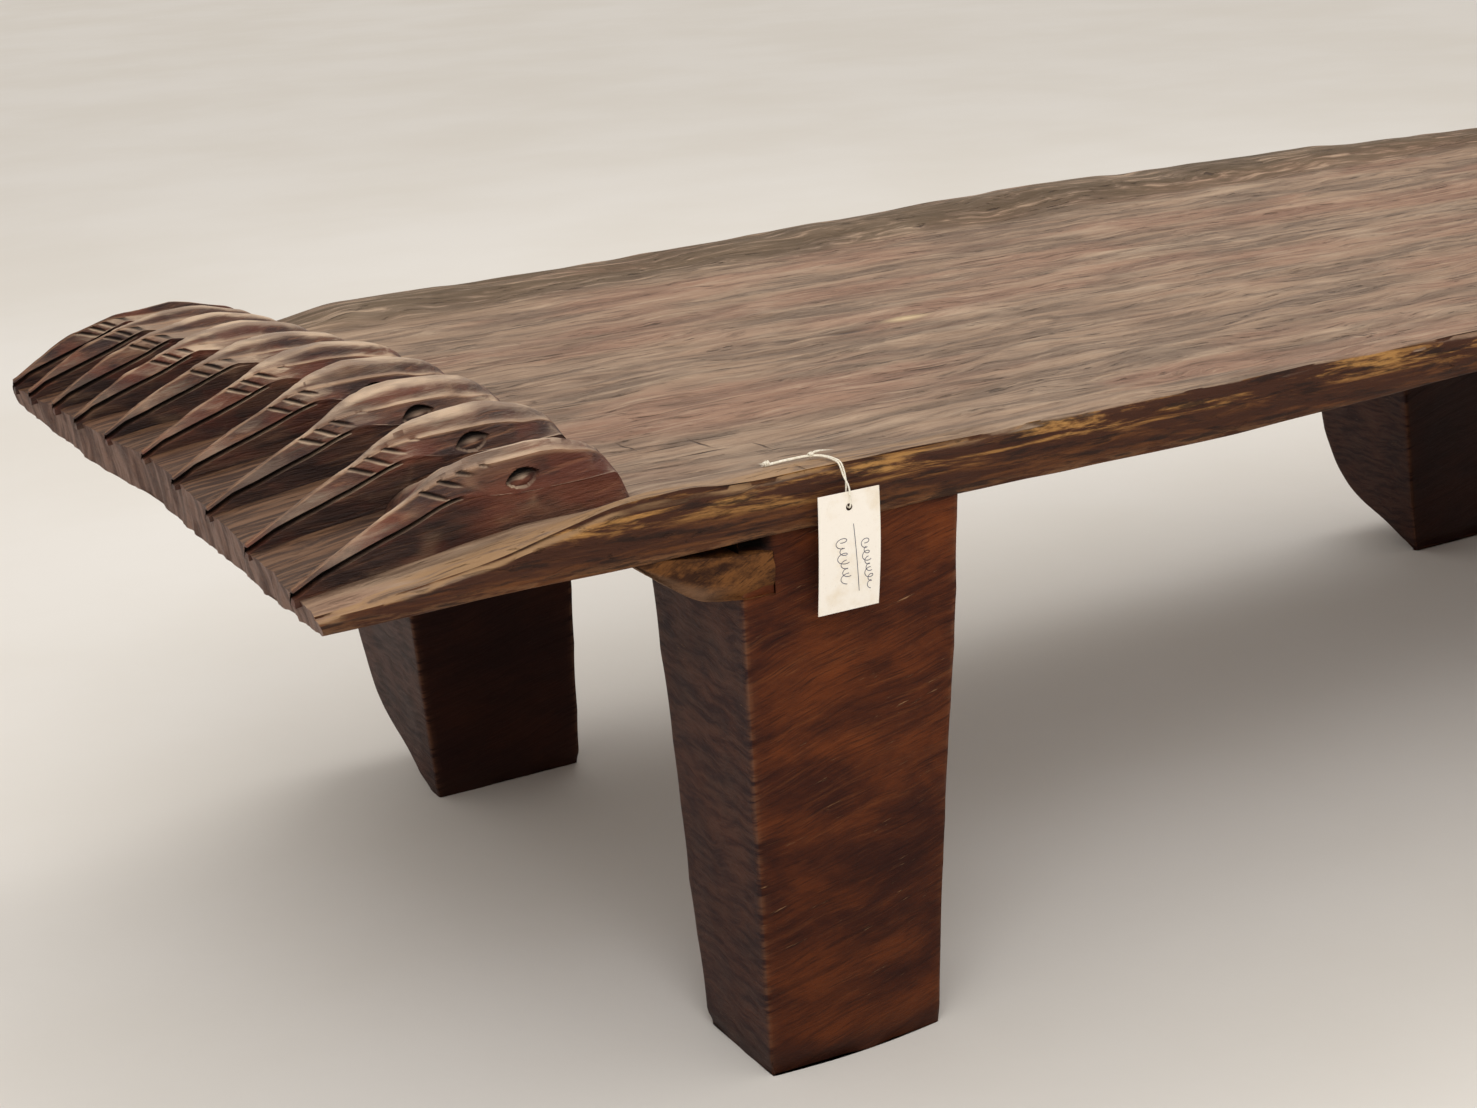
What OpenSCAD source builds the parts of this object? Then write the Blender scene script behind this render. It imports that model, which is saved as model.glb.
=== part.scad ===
// Low log bed with a carved bird headrest and a paper hang tag.
// X runs from the head end to the foot end, Y across, Z up; the floor is z = 0.

/* [Bed] */
// Length over the beak tips and the foot end
bed_l = 1840; // [1600:10:2200]
// Width over the two long edges
bed_w = 760; // [720:10:860]
// Height of the raised rims above the floor
bed_h = 420; // [380:5:460]
// Thickness of the panel at its long edges
edge_t = 39; // [30:1:50]
// How much lower the underside bulges at mid-width
belly = 21; // [10:1:30]
// Depth of the dished lying surface below the rims
dish_depth = 10; // [6:1:14]
// Width of the raised strip along each long edge
rim_w = 52; // [40:1:70]

/* [Headrest] */
// Length of a bird's head and beak
bird_l = 222; // [200:2:240]
// Height of the crowns above the rims
crown_rise = 36; // [26:1:44]
// Distance between the first two birds
first_pitch = 108; // [104:1:110]
// How much each next distance shrinks
pitch_step = 7.5; // [7:0.1:8]
// Depth of the mouth slits
slit_depth = 4; // [3:0.5:6]
// Depth of the eye sockets
eye_depth = 5; // [3:0.5:7]

/* [Legs] */
// Leg width along the bed at the floor
leg_w = 138; // [110:1:160]
// Distance from the beak tips to the head legs
head_overhang = 284; // [260:1:320]
// Distance from the foot legs to the foot end
foot_overhang = 287; // [200:1:340]
// Thickness of the near legs at the floor
near_leg_t = 92; // [70:1:110]
// How much thicker the near legs are at the top
near_leg_flare = 42; // [10:1:60]
// Distance from mid-width to the inner faces of the far legs
far_leg_in = 210; // [190:1:230]

/* [Tag] */
// Width of the paper tag
tag_w = 45; // [30:1:55]
// Height of the paper tag
tag_h = 79; // [60:1:100]
// Thickness of the paper tag
tag_t = 0.6; // [0.4:0.1:1.2]
// Diameter of one strand of the string
string_d = 1.2; // [0.8:0.1:1.4]

/* [Hidden] */

wood_top = "#6b4a3a";
wood_beak = "#6f4b38";
wood_leg = "#4a2a20";
wood_raw = "#8a6440";
cotton = "#e8e2d2";
paper = "#f0eeea";

half_l = bed_l / 2;
half_w = bed_w / 2;
panel_z = bed_h - dish_depth;
edge_z = bed_h - edge_t;
belly_z = edge_z - belly;
big = 3000;

// The head edge is hollowed between its corners by this much.
head_bow = 22;
head_x = -half_l;
// The lying surface starts behind the crowns.
ledge_end = head_x + head_bow + bird_l - 12;
// The ledge under the birds slopes down to the beak tips.
ledge_tip_z = edge_z + 6;
ledge_run = 150;

// Underside of the panel: nearly flat, turning up towards the long edges.
turn_y = 300;
turn_z = edge_z - 0.6 * belly;
function under_z(y) = lookup(abs(y), [[0, belly_z], [turn_y, turn_z], [half_w, edge_z]]);

// Birds, counted from the near edge.
birds = 10;
first_y = 36;
beak_w = 15;
function face_y(i) = -half_w + first_y + first_pitch * i - pitch_step * i * (i - 1) / 2;
function next_y(i) = i < birds - 1 ? face_y(i + 1) : half_w;
function bow(y) = head_bow * (1 - pow(y / half_w, 2));
tip_z = bed_h - 20;
brow_u = 72;
brow_z = bed_h + 7;
front_u = 88;
front_z = bed_h + 18;
crown_u = 154;
crown_rx = 68;
crown_rz = 44;
face_lean = 12;

slit_w = 3;
slit_end_u = 118;
slit_end_z = bed_h + 12;
slit_tip_z = tip_z - 6;
eye_u = 150;
eye_z = bed_h + 15;
eye_r = 17;
eye_gap = 11;
nicks = 4;
nick_u = 84;
nick_step = 11;
nick_l = 22;
nick_w = 2;
nick_depth = 1;

// Legs: left and right edges along X, at the floor and at the top.
leg_top = bed_h;
head_leg_x = head_x + head_overhang;
foot_leg_x = half_l - foot_overhang - leg_w;
near_leg_out = half_w - 4;
far_out = [half_w - 4, half_w - 28];

// Shoulder block beside the near head leg.
block_l = 98;
block_d = 40;
block_x = head_leg_x - 74;

// Hang tag: the hinge lies where the string bends over the near edge.
tag_x = head_leg_x + 73;
tag_y = -half_w - 10;
hole_z = bed_h - 27;
hole_r = 3;
hole_drop = 10;
string_r = string_d / 2;

// ---------- helpers ----------

// Outline in X and Z, carried across the bed between two Y values.
module across(points, y0, y1) {
    translate([0, y1, 0]) rotate([90, 0, 0]) linear_extrude(y1 - y0) polygon(points);
}

// Outline in Y and Z, carried along the bed between two X values.
module along(points, x0, x1) {
    translate([x0, 0, 0]) rotate([90, 0, 90]) linear_extrude(x1 - x0) polygon(points);
}

// Everything below the panel's underside.
module below_panel() {
    along([[-half_w - 50, 0], [-half_w - 50, edge_z], [-half_w, edge_z], [-turn_y, turn_z],
        [0, belly_z], [turn_y, turn_z], [half_w, edge_z], [half_w + 50, edge_z],
        [half_w + 50, 0]], -half_l - 50, half_l + 50);
}

// Plan of the bed, with its hollowed head edge and rounded foot corners.
module bed_plan() {
    head = [for (i = [-10:10]) let (y = half_w * i / 10) [head_x + bow(y), y]];
    polygon(concat(head, [[half_l - 30, half_w], [half_l - 8, half_w - 10],
        [half_l, half_w - 34], [half_l, -half_w + 34], [half_l - 8, -half_w + 10],
        [half_l - 30, -half_w]]));
}

// Slab of the plan between two heights, hollowed to the underside.
module slab(z0, z1) {
    difference() {
        translate([0, 0, z0]) linear_extrude(z1 - z0) bed_plan();
        below_panel();
    }
}

// ---------- bed ----------

// Flat lying surface between the rims.
module bed_panel() {
    inner = half_w - rim_w;
    color(wood_top) intersection() {
        slab(belly_z - 1, panel_z);
        translate([ledge_end, -inner, 0]) cube([big, 2 * inner, big]);
    }
}

// Raised strip along a long edge, down to the underside: side is -1 near, 1 far.
module rim(side) {
    outer = side * half_w;
    crest = side * (half_w - 20);
    inner = side * (half_w - rim_w);
    color(wood_top) intersection() {
        along([[outer, 0], [outer, bed_h - 4], [outer - side * 5, bed_h],
            [crest, bed_h], [inner, panel_z], [inner, 0]], ledge_end, half_l);
        slab(belly_z - 1, bed_h + 1);
    }
}

module near_rim() { rim(-1); }

module far_rim() { rim(1); }

// Thinner head end that the birds stand on.
module head_ledge() {
    color(wood_beak) intersection() {
        slab(belly_z - 1, bed_h);
        across([[head_x, 0], [head_x, ledge_tip_z], [head_x + ledge_run, panel_z],
            [ledge_end, panel_z], [ledge_end, 0]], -half_w, half_w);
    }
}

// ---------- birds ----------

// Side profile of a head: beak, brow and domed crown, standing on the ledge.
function profile(x) = concat(
    [[head_x + ledge_run, panel_z], [head_x, ledge_tip_z], [head_x, tip_z], [x, tip_z],
        [x + brow_u / 2, (tip_z + brow_z) / 2 + 3], [x + brow_u, brow_z],
        [x + front_u, front_z]],
    [for (a = [130:-13:0]) [x + crown_u + crown_rx * cos(a),
        bed_h + crown_rise - crown_rz + crown_rz * sin(a)]],
    [[x + crown_u + crown_rx, panel_z]]);

// Plan of a head: straight near face, beak widening to the full pitch.
function head_plan(x, y0, y1) = [[x, y0], [x + crown_u + crown_rx, y0],
    [x + crown_u + crown_rx, y1], [x + front_u + 10, y1], [x, min(y0 + beak_w, y1)]];

// Cross-section: steep near face, broad crest and a slope to the next face.
function section(y0, y1) = [[y0, 0], [y0, ledge_tip_z],
    [y0 + face_lean, bed_h + crown_rise + 2],
    [y0 + 0.5 * (y1 - y0), bed_h + crown_rise + 2], [y1, bed_h + 8], [y1, 0]];

// How far the leaning near face has moved in at a height.
function lean_at(z) = face_lean * (z - ledge_tip_z) / (bed_h + crown_rise + 2 - ledge_tip_z);

// Flat outline in X and Z, cut into a near face from in front of it up to y1.
module face_cut(y1) {
    translate([0, y1, 0]) rotate([90, 0, 0]) linear_extrude(30) children();
}

// Mouth slit from the beak tip to below the nicks.
module slit(x) {
    polygon([[x - 5, slit_tip_z - 1], [x + slit_end_u, slit_end_z - slit_w],
        [x + slit_end_u, slit_end_z], [x - 5, slit_tip_z + slit_w]]);
}

// Almond outline of an eye socket.
module almond(x) {
    translate([x + eye_u, eye_z]) rotate(12) intersection() {
        translate([0, -eye_gap]) circle(eye_r, $fn = 48);
        translate([0, eye_gap]) circle(eye_r, $fn = 48);
    }
}

// Short nicks that mark the base of the beak.
module nick(x, k) {
    translate([x + nick_u + nick_step * k, front_z + 2 + 3 * k])
        rotate(-28) square([nick_l, nick_w], center = true);
}

module bird(i) {
    y0 = face_y(i);
    y1 = next_y(i);
    x = ledge_end - crown_u - crown_rx + 2;
    tip = head_x + bow(y0 + beak_w / 2);
    color(wood_beak) difference() {
        intersection() {
            across(profile(x), y0, y1);
            linear_extrude(big) polygon(head_plan(x, y0, y1));
            along(section(y0, y1), tip, ledge_end);
        }
        face_cut(y0 + lean_at(slit_end_z) + slit_depth) slit(x);
        face_cut(y0 + lean_at(eye_z) + eye_depth) almond(x);
        for (k = [0:nicks - 1]) face_cut(y0 + face_lean + nick_depth) nick(x, k);
    }
}

module bird_01() { bird(0); }
module bird_02() { bird(1); }
module bird_03() { bird(2); }
module bird_04() { bird(3); }
module bird_05() { bird(4); }
module bird_06() { bird(5); }
module bird_07() { bird(6); }
module bird_08() { bird(7); }
module bird_09() { bird(8); }
module bird_10() { bird(9); }

// ---------- legs ----------

// Leg cut from its two outlines: spread is how far each edge widens at the top.
module leg(x, left_spread, right_spread, yz) {
    color(wood_leg) intersection() {
        across([[x, 0], [x + leg_w, 0], [x + leg_w + right_spread, leg_top],
            [x - left_spread, leg_top]], -half_w, half_w);
        along(yz, x - 100, x + leg_w + 100);
        below_panel();
    }
}

near_yz = [[-near_leg_out, 0], [-near_leg_out, leg_top],
    [-near_leg_out + near_leg_t + near_leg_flare, leg_top], [-near_leg_out + near_leg_t, 0]];

// The outer faces of the far legs keep the round of the log.
function far_yz(out) = [[far_leg_in, 0], [far_leg_in + 26, 0], [far_leg_in + 56, 22],
    [out - 58, 42], [out - 30, 66], [out - 14, 100], [out - 4, 150], [out, 220],
    [out, leg_top], [far_leg_in, leg_top]];

module leg_head_near() { leg(head_leg_x, 0, 32, near_yz); }

module leg_head_far() { leg(head_leg_x - 8, 22, 16, far_yz(far_out[0])); }

module leg_foot_near() { leg(foot_leg_x, 28, 8, near_yz); }

module leg_foot_far() { leg(foot_leg_x, 48, 12, far_yz(far_out[1])); }

// Uncut remnant that flares from the near head leg into the panel.
module shoulder_block() {
    x = block_x;
    top = edge_z;
    color(wood_raw) difference() {
        across([[x, top], [x + 20, top - 17], [x + 42, top - 32], [x + 70, top - 38],
            [x + block_l, top - 40], [x + block_l, top - 9]], -half_w, -half_w + block_d);
        slab(belly_z - 1, panel_z);
        leg_head_near();
    }
}

// ---------- string and tag ----------

// Ring of a tube: a regular octagon around a point, square to a direction.
sides = 8;
function unit(v) = v / norm(v);
function frame_x(d) = unit(cross(d, abs(d[2]) > 0.9 ? [1, 0, 0] : [0, 0, 1]));
function ring(p, d, r) = let (a = frame_x(d), b = cross(d, a))
    [for (i = [0:sides - 1]) p + r * (a * cos(360 * i / sides) + b * sin(360 * i / sides))];
function along_path(p, i) =
    unit(p[min(i + 1, len(p) - 1)] - p[max(i - 1, 0)]);

// Closed tube along a route.
module tube(p, r) {
    n = len(p);
    pts = [for (i = [0:n - 1]) each ring(p[i], along_path(p, i), r)];
    skin = [for (i = [0:n - 2]) for (j = [0:sides - 1])
        let (k = (j + 1) % sides, a = i * sides, b = a + sides) [a + j, a + k, b + k, b + j]];
    caps = [[for (j = [sides - 1:-1:0]) j], [for (j = [0:sides - 1]) (n - 1) * sides + j]];
    polyhedron(pts, concat(skin, caps));
}

// Route of one strand on the rim, from the tied ends to the bend over the edge.
top_route = [[-37, 28, -1.0], [-31, 27, -0.4], [-25, 26, 0.2], [-19, 25, 0.6], [-13, 24, 0.9],
    [-7, 22.5, 1.0], [-3, 19, 1.0], [-1, 15, 1.0], [0, 10, 1.0], [0, 6, 1.0], [0, 2, 1.0]];

// Route of the hanging loop: down the front of the tag, through its hole and back up.
drop_route = [[-1, 1.5, 0.9], [-1, -1.2, 0.4], [-1, -3.6, -1.6], [-1, -5.2, -4], [-1, -6.8, -6.6],
    [-0.9, -9, -9], [-0.7, -11.4, -11.4], [-0.4, -12.6, -14.5], [-0.2, -12.8, -18],
    [0, -12.8, -22], [0, -12.7, -25], [0, -12, -26.6], [0, -10.8, -27.4], [0, -9.2, -27.4],
    [0, -8, -26.6], [0, -7.4, -25], [0, -7.4, -22], [0.2, -7.4, -18], [0.4, -7.4, -14.5],
    [0.7, -7, -11.4], [0.9, -6.4, -9], [1, -5.6, -6.6], [1, -4.4, -4], [1, -3, -1.8],
    [1, -1.2, -0.2], [1, 1.5, 0.9]];

function placed(route) = [for (p = route) [tag_x, -half_w, bed_h] + p];

// The same route moved sideways, level with the rim.
function beside(route, side) = [for (i = [0:len(route) - 1])
    route[i] + side * unit(cross(along_path(route, i), [0, 0, 1]))];

module string_top() {
    color(cotton) for (side = [-1, 1]) tube(placed(beside(top_route, side)), string_r);
}

module string_drop() {
    color(cotton) tube(placed(drop_route), string_r);
}

// Knot drawn tight round both strands.
module knot(p, r, l) {
    color(cotton) translate([tag_x + p[0], -half_w + p[1], bed_h + p[2]])
        rotate([0, 90, 0]) cylinder(r = r, h = l, center = true, $fn = 24);
}

module slip_knot() { knot([-7, 22.5, 1.4], 1.9, 4); }

module end_knot() { knot([-37, 28, -0.4], 1.9, 5); }

module hang_tag() {
    color(paper) difference() {
        translate([tag_x - tag_w / 2, tag_y - tag_t / 2, hole_z + hole_drop - tag_h])
            cube([tag_w, tag_t, tag_h]);
        translate([tag_x, tag_y, hole_z]) rotate([90, 0, 0])
            cylinder(r = hole_r, h = 10, center = true, $fn = 48);
    }
}

bed_panel();
near_rim();
far_rim();
head_ledge();
bird_01();
bird_02();
bird_03();
bird_04();
bird_05();
bird_06();
bird_07();
bird_08();
bird_09();
bird_10();
leg_head_near();
leg_head_far();
leg_foot_near();
leg_foot_far();
shoulder_block();
string_top();
slip_knot();
end_knot();
string_drop();
hang_tag();
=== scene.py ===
import math

import bpy
import numpy as np
from mathutils import Matrix, Vector


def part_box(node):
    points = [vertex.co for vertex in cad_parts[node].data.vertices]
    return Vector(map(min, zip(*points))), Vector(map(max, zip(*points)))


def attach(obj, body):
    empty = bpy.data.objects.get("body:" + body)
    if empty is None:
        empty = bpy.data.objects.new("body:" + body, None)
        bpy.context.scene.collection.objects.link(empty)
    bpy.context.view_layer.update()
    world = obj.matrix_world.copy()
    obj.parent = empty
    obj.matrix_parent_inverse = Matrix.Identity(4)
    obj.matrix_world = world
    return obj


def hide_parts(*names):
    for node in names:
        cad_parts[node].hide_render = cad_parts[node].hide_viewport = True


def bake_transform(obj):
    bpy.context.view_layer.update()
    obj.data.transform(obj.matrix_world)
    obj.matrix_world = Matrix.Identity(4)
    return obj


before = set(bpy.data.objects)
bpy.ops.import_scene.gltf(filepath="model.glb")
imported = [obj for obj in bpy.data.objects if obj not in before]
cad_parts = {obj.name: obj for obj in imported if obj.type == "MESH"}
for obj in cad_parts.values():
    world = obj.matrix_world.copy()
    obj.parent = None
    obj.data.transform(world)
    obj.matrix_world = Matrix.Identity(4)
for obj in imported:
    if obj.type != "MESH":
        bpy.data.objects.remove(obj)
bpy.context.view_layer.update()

# Low bed-like table hewn from one log, with a headrest carved as ten bird heads and a paper
# tag on a string. Metres, in the CAD frame: X from the head end to the foot end, Y across,
# Z up, floor at z = 0.

# ---- sizes taken from the frame ----

RIM_LOW, RIM_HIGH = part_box("near_rim")
LEDGE_LOW, LEDGE_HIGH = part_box("head_ledge")
BLOCK_LOW, BLOCK_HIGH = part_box("shoulder_block")
TAG_LOW, TAG_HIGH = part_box("hang_tag")

HEAD_X = LEDGE_LOW.x
FOOT_X = RIM_HIGH.x
HALF_W = -RIM_LOW.y
RIM_Z = RIM_HIGH.z
PANEL_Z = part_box("bed_panel")[1].z
LEDGE_END = LEDGE_HIGH.x
BIRDS = 10

scene = bpy.context.scene


# ---- curves and noise ----

def smooth(value, start, end):
    """0 before start, 1 after end, and an S-curve between them."""
    t = np.clip((value - start) / (end - start), 0, 1)
    return t * t * (3 - 2 * t)


def curve(points, x):
    """Smooth curve through (x, value) points, level before the first and after the last."""
    px, py = np.array(points, float).T
    slope = np.gradient(py, px)
    i = np.clip(np.searchsorted(px, x) - 1, 0, len(px) - 2)
    width = px[i + 1] - px[i]
    t = np.clip((x - px[i]) / width, 0, 1)
    return ((2 * t**3 - 3 * t**2 + 1) * py[i] + (t**3 - 2 * t**2 + t) * width * slope[i]
            + (3 * t**2 - 2 * t**3) * py[i + 1] + (t**3 - t**2) * width * slope[i + 1])


def lattice(cell, seed):
    """A repeatable value from -1 to 1 for each row of whole numbers."""
    cell = cell.astype(np.uint64)
    n = cell[:, 0] * np.uint64(374761393) + cell[:, 1] * np.uint64(668265263)
    n += cell[:, 2] * np.uint64(1442695041) + np.uint64(seed * 974711 + 12345)
    n = (n ^ (n >> np.uint64(13))) * np.uint64(1274126177)
    n = (n ^ (n >> np.uint64(16))) & np.uint64(0xFFFFFF)
    return n.astype(float) / 0x7FFFFF - 1


def noise(points, size, seed):
    """Smooth noise from -1 to 1; size is the length of a blob along X, Y and Z."""
    p = points / np.array(size, float) + 1000
    cell = np.floor(p).astype(np.int64)
    t = p - cell
    t = t * t * (3 - 2 * t)
    total = np.zeros(len(p))
    for corner in np.ndindex(2, 2, 2):
        weight = np.prod(np.where(corner, t, 1 - t), axis=1)
        total += weight * lattice(cell + np.array(corner), seed)
    return total


def layered(points, size, seed, layers=3):
    """Noise with finer and weaker noise on it."""
    size = np.array(size, float)
    return sum(noise(points, size / 2**k, seed + k) / 2**k for k in range(layers)) / 1.5


def scoops(points, size, seed):
    """Tool marks: near 0 in the middle of each shallow scoop, rising to 1 at the crests."""
    p = points / np.array(size, float) + 1000
    cell = np.floor(p).astype(np.int64)
    nearest = np.full(len(p), 9.0)
    for corner in np.ndindex(3, 3, 3):
        there = cell + np.array(corner) - 1
        away = sum((there[:, k] + 0.5 + 0.4 * lattice(there, seed + k) - p[:, k]) ** 2
                   for k in range(3))
        nearest = np.minimum(nearest, away)
    return nearest


def xyz(x, y, z):
    """Rows of places."""
    return np.stack([x, y, z], 1)


def spread(*stretches):
    """Rising values: each stretch is (start, end, step), and the last end is kept."""
    parts = [np.linspace(a, b, max(1, round((b - a) / step)), endpoint=False)
             for a, b, step in stretches]
    return np.concatenate([*parts, [stretches[-1][1]]])


# ---- meshes ----

def block_grid(us, vs, ws):
    """Grid over the six sides of a box: three parameters for each vertex, and the quads."""
    shape = (len(us), len(vs), len(ws))
    skin = np.zeros(shape, bool)
    skin[[0, -1]] = True
    skin[:, [0, -1]] = True
    skin[:, :, [0, -1]] = True
    number = np.full(shape, -1)
    number[skin] = np.arange(skin.sum())
    i, j, k = np.nonzero(skin)

    def side(grid, turned):
        quads = np.stack([grid[:-1, :-1], grid[1:, :-1], grid[1:, 1:], grid[:-1, 1:]], -1)
        quads = quads.reshape(-1, 4)
        return quads[:, ::-1] if turned else quads

    faces = [side(number.take(end, axis), (end == 0) != (axis == 1))
             for axis in range(3) for end in (0, -1)]
    return us[i], vs[j], ws[k], np.concatenate(faces)


def make_piece(name, points, faces, material, marks=None, sharp=40):
    """A mesh object. marks are values on its vertices that its material reads."""
    mesh = bpy.data.meshes.new(name)
    mesh.from_pydata(points.tolist(), [], [list(map(int, f)) for f in faces])
    mesh.shade_smooth()
    mesh.set_sharp_from_angle(angle=math.radians(sharp))
    for key, values in (marks or {}).items():
        made = mesh.attributes.new(key, "FLOAT", "POINT")
        made.data.foreach_set("value", np.asarray(values, np.float32))
    mesh.materials.append(material)
    piece = bpy.data.objects.new(name, mesh)
    scene.collection.objects.link(piece)
    return piece


def smooth_path(points, step):
    """Points about a step apart on a smooth curve through the route."""
    p = np.array(points, float)
    p = np.vstack([2 * p[0] - p[1], p, 2 * p[-1] - p[-2]])
    out = []
    for a, b, c, d in zip(p, p[1:], p[2:], p[3:]):
        n = max(1, math.ceil(np.linalg.norm(c - b) / step))
        t = np.linspace(0, 1, n, endpoint=False)[:, None]
        out.append(0.5 * (2 * b + (c - a) * t + (2 * a - 5 * b + 4 * c - d) * t**2
                          + (3 * b - a - 3 * c + d) * t**3))
    return np.vstack([*out, p[-2]])


def ring_quads(rings, around):
    """Quads between rings of points, each with this many points around."""
    return [[i * around + j, i * around + (j + 1) % around,
             (i + 1) * around + (j + 1) % around, (i + 1) * around + j]
            for i in range(rings - 1) for j in range(around)]


def tube(path, radius, sides=12, strands=0, twist=0.0, taper=0.0):
    """Closed tube along a path, as vertices and faces. strands and twist wind plies round it;
    taper is the share of its length over which its end narrows to a point."""
    path = np.asarray(path, float)
    along = np.gradient(path, axis=0)
    along /= np.linalg.norm(along, axis=1)[:, None]
    side = np.cross(along[0], [0.3, 0.2, 1.0])
    travelled = np.concatenate([[0], np.cumsum(np.linalg.norm(np.diff(path, axis=0), axis=1))])
    angle = np.linspace(0, 2 * math.pi, sides, endpoint=False)
    rings = []
    for centre, d, s in zip(path, along, travelled):
        side = side - d * side.dot(d)
        side /= np.linalg.norm(side)
        up = np.cross(d, side)
        r = np.full(sides, radius)
        if strands:
            r *= 0.86 + 0.14 * np.abs(np.cos(strands / 2 * (angle - twist * s)))
        if taper:
            r *= 1 - 0.93 * smooth(s / travelled[-1], 1 - taper, 1)
        rings.append(centre + r[:, None] * (np.cos(angle)[:, None] * side
                                            + np.sin(angle)[:, None] * up))
    last = (len(rings) - 1) * sides
    faces = ring_quads(len(rings), sides)
    faces += [list(range(sides))[::-1], list(range(last, last + sides))]
    return np.vstack(rings), faces


def joined(parts):
    """Several (vertices, faces) as one."""
    points, faces, base = [], [], 0
    for p, f in parts:
        points.append(p)
        faces += [[base + k for k in face] for face in f]
        base += len(p)
    return np.vstack(points), faces


# ---- materials ----

def rgb(r, g, b):
    """Linear colour from the usual 0-255 values."""
    return tuple(((c / 255 + 0.055) / 1.055) ** 2.4 for c in (r, g, b)) + (1.0,)


class Graph:
    """One procedural material, built with short calls."""

    def __init__(self, name):
        self.material = bpy.data.materials.new(name)
        self.material.use_nodes = True
        self.tree = self.material.node_tree
        self.shader = self.tree.nodes["Principled BSDF"]
        self.place = self.tree.nodes.new("ShaderNodeTexCoord").outputs["Object"]

    def node(self, kind, values=None, **settings):
        made = self.tree.nodes.new("ShaderNode" + kind)
        for key, value in settings.items():
            setattr(made, key, value)
        for key, value in (values or {}).items():
            self.set(made.inputs[key], value)
        return made

    def set(self, socket, value):
        if isinstance(value, bpy.types.NodeSocket):
            self.tree.links.new(value, socket)
        else:
            socket.default_value = value

    def math(self, operation, *values):
        return self.node("Math", dict(enumerate(values)), operation=operation).outputs[0]

    def times(self, a, b):
        return self.math("MULTIPLY", a, b)

    def vector(self, operation, a, b):
        return self.node("VectorMath", {0: a, 1: b}, operation=operation).outputs[0]

    def scaled(self, size, turn=(0, 0, 0), coords=None):
        """Coordinates in which a feature of this size is one unit."""
        turned = self.node("Mapping", {"Vector": coords or self.place, "Rotation": turn})
        return self.node("Mapping", {"Vector": turned.outputs[0],
                                     "Scale": [1 / s for s in size]}).outputs[0]

    def wavy(self, size, reach):
        """Coordinates pushed about by up to half of reach, so that the grain wanders."""
        push = self.node("TexNoise", {"Vector": self.scaled(size), "Scale": 1.0, "Detail": 2.0})
        push = self.vector("SUBTRACT", push.outputs["Color"], (0.5, 0.5, 0.5))
        return self.vector("ADD", self.place,
                           self.vector("MULTIPLY", push, (reach, reach, reach)))

    def noise(self, size, detail=4.0, rough=0.55, warp=0.0, turn=(0, 0, 0), shift=0.0,
              coords=None):
        coords = self.scaled(size, turn, coords)
        if shift:
            coords = self.node("Mapping", {"Vector": coords,
                                           "Location": (shift, shift, shift)}).outputs[0]
        return self.node("TexNoise", {"Vector": coords, "Scale": 1.0, "Detail": detail,
                                      "Roughness": rough, "Distortion": warp}).outputs[0]

    def step(self, value, start, end):
        """0 before start, 1 after end, and an S-curve between them; start may be the larger."""
        return self.node("MapRange", {0: value, 1: start, 2: end},
                         interpolation_type="SMOOTHSTEP").outputs[0]

    def mix(self, factor, a, b):
        """a where the factor is 0 and b where it is 1; either may be (r, g, b) from 0 to 255."""
        made = self.node("Mix", data_type="RGBA")
        for socket, value in ((0, factor), (6, a), (7, b)):
            self.set(made.inputs[socket], rgb(*value) if isinstance(value, tuple) else value)
        return made.outputs[2]

    def ramp(self, value, start, end, a, b):
        """Colour a where the value is at start, and b where it is at end."""
        return self.mix(self.step(value, start, end), a, b)

    def tint(self, colour, mask, share, paint):
        """The colour, with up to this share of paint where the mask is 1."""
        return self.mix(self.times(mask, share), colour, paint)

    def tints(self, colour, *rows):
        """One tint after the other, each from (value, start, end, share, paint)."""
        for value, start, end, share, paint in rows:
            colour = self.tint(colour, self.step(value, start, end), share, paint)
        return colour

    def mark(self, name):
        return self.node("Attribute", attribute_name=name).outputs["Fac"]

    def axis(self, k):
        return self.node("SeparateXYZ", {0: self.place}).outputs[k]

    def facing(self, k):
        """How far the surface faces along an axis, from -1 to 1."""
        normal = self.node("NewGeometry").outputs["Normal"]
        return self.node("SeparateXYZ", {0: normal}).outputs[k]

    def spot(self, centre, size):
        """1 at a place on the object, fading to 0 at size away from it."""
        away = self.vector("SUBTRACT", self.place, centre)
        part = self.vector("MULTIPLY", away, [1 / s for s in size])
        length = self.node("VectorMath", {0: part}, operation="LENGTH")
        return self.step(length.outputs["Value"], 1.0, 0.0)

    def total(self, *weighted):
        """Sum of (value, weight) pairs."""
        total = 0.0
        for value, weight in weighted:
            total = self.math("MULTIPLY_ADD", value, weight, total)
        return total

    def done(self, colour, roughness, height, depth, specular):
        """height, from 0 to 1, stands for relief of this depth in metres."""
        bump = self.node("Bump", {"Height": height, "Distance": depth, "Strength": 1.0})
        for key, value in (("Base Color", colour), ("Roughness", roughness),
                           ("Normal", bump.outputs[0]), ("Specular IOR Level", specular)):
            self.set(self.shader.inputs[key], value)
        return self.material


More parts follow.
